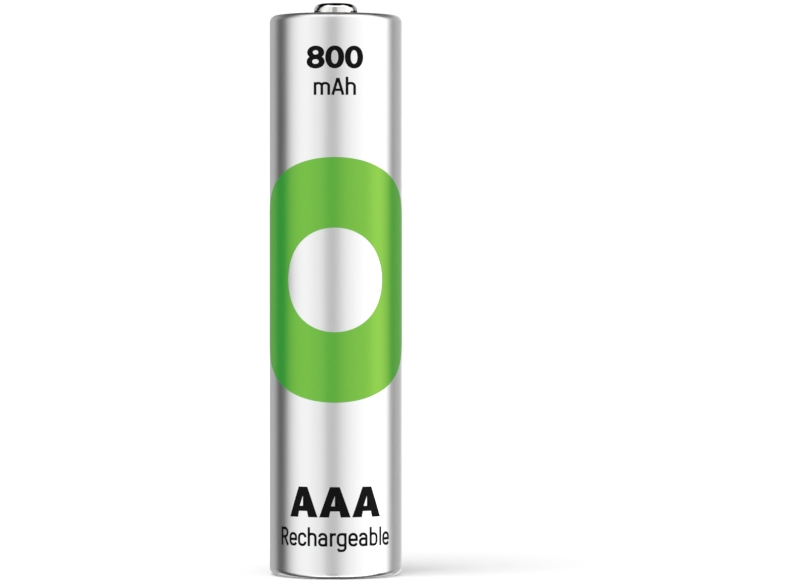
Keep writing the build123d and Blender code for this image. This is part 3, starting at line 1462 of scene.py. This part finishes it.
@dataclass
class Studio:
    """Camera, surroundings, key light and floor.

    A Fade runs from where a light is off to where it is full, in parts of a direction. A
    run of four numbers is off, full, full and off.
    """

    lens: float = 169.4
    sensor: float = 36.0
    distance: float = 288.0
    side: float = 4.45
    eye: float = 25.27
    aim: float = 21.88
    gloom: float = 0.02
    top_light: float = 1.5
    floor_glow: float = 1.3
    bounce: float = 0.6
    underlight: float = 0.07
    fill: float = 0.6
    lean: float = 0.7
    backdrop: float = 1.1
    front_above: Fade = (0.15, -0.1)
    front_below: Fade = (0.05, -0.15)
    wall_top: Fade = (0.84, 0.7)
    back_wall_top: Fade = (0.6, 0.4)
    wall_foot: Fade = (-0.95, -0.88)
    back_wall_foot: Fade = (-0.55, -0.3)
    lamp_rise: tuple[float, float, float, float] = (0.7, 0.82, 0.91, 0.965)
    glow_rise: tuple[float, float, float, float] = (-0.99, -0.975, -0.93, -0.86)
    card_top: Fade = (-0.4, -0.5)
    card_back: tuple[float, float, float, float] = (0.4, 0.52, 0.74, 0.86)
    card_side: Fade = (0.14, 0.3)
    panels: tuple[Panel, ...] = (
        Panel(-164.0, 40.0, 6.0, 0.48),
        Panel(152.0, 29.0, 8.0, 0.47),
        Panel(-56.0, 36.0, 7.0, 0.74),
        Panel(-56.0, 20.0, 12.0, 0.29),
        Panel(-10.0, 17.0, 5.0, 0.42),
        Panel(57.5, 50.5, 4.0, 0.82),
        Panel(62.0, 38.0, 20.0, 0.23),
        Panel(79.0, 13.0, 9.0, 0.5),
        Panel(86.0, 23.0, 6.0, 0.18),
    )
    key_azimuth: float = -44.0
    key_height: float = 63.0
    key_spread: float = 52.0
    key_power: float = 2.2
    floor_r: float = 2600.0

    def build(self) -> None:
        """Sets up everything that isn't the cell."""
        self._camera()
        self._surroundings()
        self._key()
        self._floor()

    def _camera(self) -> None:
        """A long lens, level with the middle of the cell and a little to its right."""
        data = bpy.data.cameras.new("camera")
        data.lens = self.lens
        data.sensor_width = self.sensor
        data.clip_start = 0.01
        data.clip_end = 10.0
        camera = bpy.data.objects.new("camera", data)
        bpy.context.scene.collection.objects.link(camera)
        place = Vector((self.side, -self.distance, self.eye)) * MM
        target = Vector((self.side, 0.0, self.aim)) * MM
        camera.location = place
        camera.rotation_euler = (target - place).to_track_quat("-Z", "Y").to_euler()
        bpy.context.scene.camera = camera

    def _surroundings(self) -> None:
        """White to the camera, and the soft panels to whatever mirrors them."""
        world = bpy.data.worlds.new("studio")
        world.use_nodes = True
        bpy.context.scene.world = world
        world.cycles.sampling_method = "NONE"
        graph = Graph(world.node_tree)
        place = Place(graph, graph.add("ShaderNodeTexCoord", {}, {}).outputs["Generated"])
        path = graph.add("ShaderNodeLightPath", {}, {}).outputs
        seen = Val(graph, path["Is Camera Ray"])
        mirrored = Val(graph, path["Is Glossy Ray"])
        x, _, _ = place.axes()
        soft = (1.0 - mirrored - seen).clamped() * (x * self.lean + 1.0) * self.fill
        strength = mirrored * self._mirrored(graph, place) + seen * self.backdrop + soft
        back = graph.add("ShaderNodeBackground", {}, {"Color": (1.0, 1.0, 1.0, 1.0), "Strength": strength})
        graph.add("ShaderNodeOutputWorld", {}, {"Surface": back.outputs[0]})

    def _mirrored(self, graph: Graph, place: Place) -> Val:
        """The walls of panels, with the lamp over them and the lit floor and cards under them.

        Args:
            graph: the world's graph.
            place: the direction looked in, whose parts run from -1 to 1.

        Returns:
            How bright the surroundings are in that direction.
        """
        x, y, z = place.axes()
        flat = graph.vector("NORMALIZE", place.join(x, y, 0.0))
        level: Val | float = self.gloom
        for panel in self.panels:
            level += self._lit(graph, flat, panel)
        ahead = y.ramp(*self.front_above)
        before = y.ramp(*self.front_below)
        above = z.ramp(*self.wall_top) * ahead + z.ramp(*self.back_wall_top) * (1.0 - ahead)
        below = z.ramp(*self.wall_foot) * before + z.ramp(*self.back_wall_foot) * (1.0 - before)
        lamp = z.band(*self.lamp_rise) * ahead * self.top_light
        glow = z.band(*self.glow_rise) * before * self.floor_glow
        card = z.ramp(*self.card_top) * y.band(*self.card_back) * abs(x).ramp(*self.card_side) * self.bounce
        return level * above * below + lamp + glow + card + (1.0 - below) * self.underlight

    @staticmethod
    def _lit(graph: Graph, flat: bpy.types.NodeSocket, panel: Panel) -> Val:
        """How much light one panel sends from a level direction.

        Args:
            graph: the world's graph.
            flat: the direction looked in, laid level.
            panel: the panel.

        Returns:
            Its light in that direction.
        """
        turn = math.radians(panel.azimuth)
        facing = (math.sin(turn), -math.cos(turn), 0.0)
        node = graph.add("ShaderNodeVectorMath", {"operation": "DOT_PRODUCT"}, {0: flat, 1: facing})
        cosine = Val(graph, node.outputs["Value"])
        away = cosine.math("ARCCOSINE") * math.degrees(1.0)
        return away.ramp(panel.half_width + panel.edge, panel.half_width - panel.edge) * panel.level

    def _key(self) -> None:
        """A broad light from the front left that lays the soft shadow behind the cell."""
        data = bpy.data.lights.new("key", "SUN")
        data.energy = self.key_power
        data.angle = math.radians(self.key_spread)
        light = bpy.data.objects.new("key", data)
        bpy.context.scene.collection.objects.link(light)
        turn = math.radians(self.key_azimuth)
        rise = math.radians(self.key_height)
        towards = Vector((math.sin(turn) * math.cos(rise), -math.cos(turn) * math.cos(rise), math.sin(rise)))
        light.rotation_euler = towards.to_track_quat("Z", "Y").to_euler()
        light.visible_glossy = False

    def _floor(self) -> None:
        """A plain pale floor."""
        bm = bmesh.new()
        bmesh.ops.create_circle(bm, cap_ends=True, segments=96, radius=self.floor_r)
        floor = finish_mesh(bm, "studio_floor")
        floor.location.z = cad_box[0].z
        floor.data.materials.append(self._paper())
        floor.visible_glossy = False

    @staticmethod
    def _paper() -> bpy.types.Material:
        """White paper with a faint tooth.

        Returns:
            The floor's material.
        """
        made = bpy.data.materials.new("studio_floor_paper")
        made.use_nodes = True
        graph = Graph(made.node_tree)
        fibre = graph.noise(graph.place().point, 0.05, 3.0)
        white = graph.blend(fibre, (0.9, 0.9, 0.9, 1.0), (0.92, 0.92, 0.92, 1.0))
        inputs = {"Base Color": white, "Roughness": 0.9, "Specular IOR Level": 0.1}
        shader = graph.add("ShaderNodeBsdfPrincipled", {}, inputs)
        graph.add("ShaderNodeOutputMaterial", {}, {"Surface": shader.outputs[0]})
        return made


def main() -> None:
    """Builds the cell and the studio."""
    logging.basicConfig(level=logging.INFO, format="%(name)s: %(message)s")
    scene = bpy.context.scene
    scene.view_settings.view_transform = "Standard"
    scene.view_settings.look = "None"
    sizes = Sizes.read()
    Studio().build()
    label = Label(sizes)
    label.build()
    Print(label.ink_base).build()
    Can(sizes).build()
    Closure(sizes).build()
    Inside().dress()


if __name__ == "__main__":
    main()
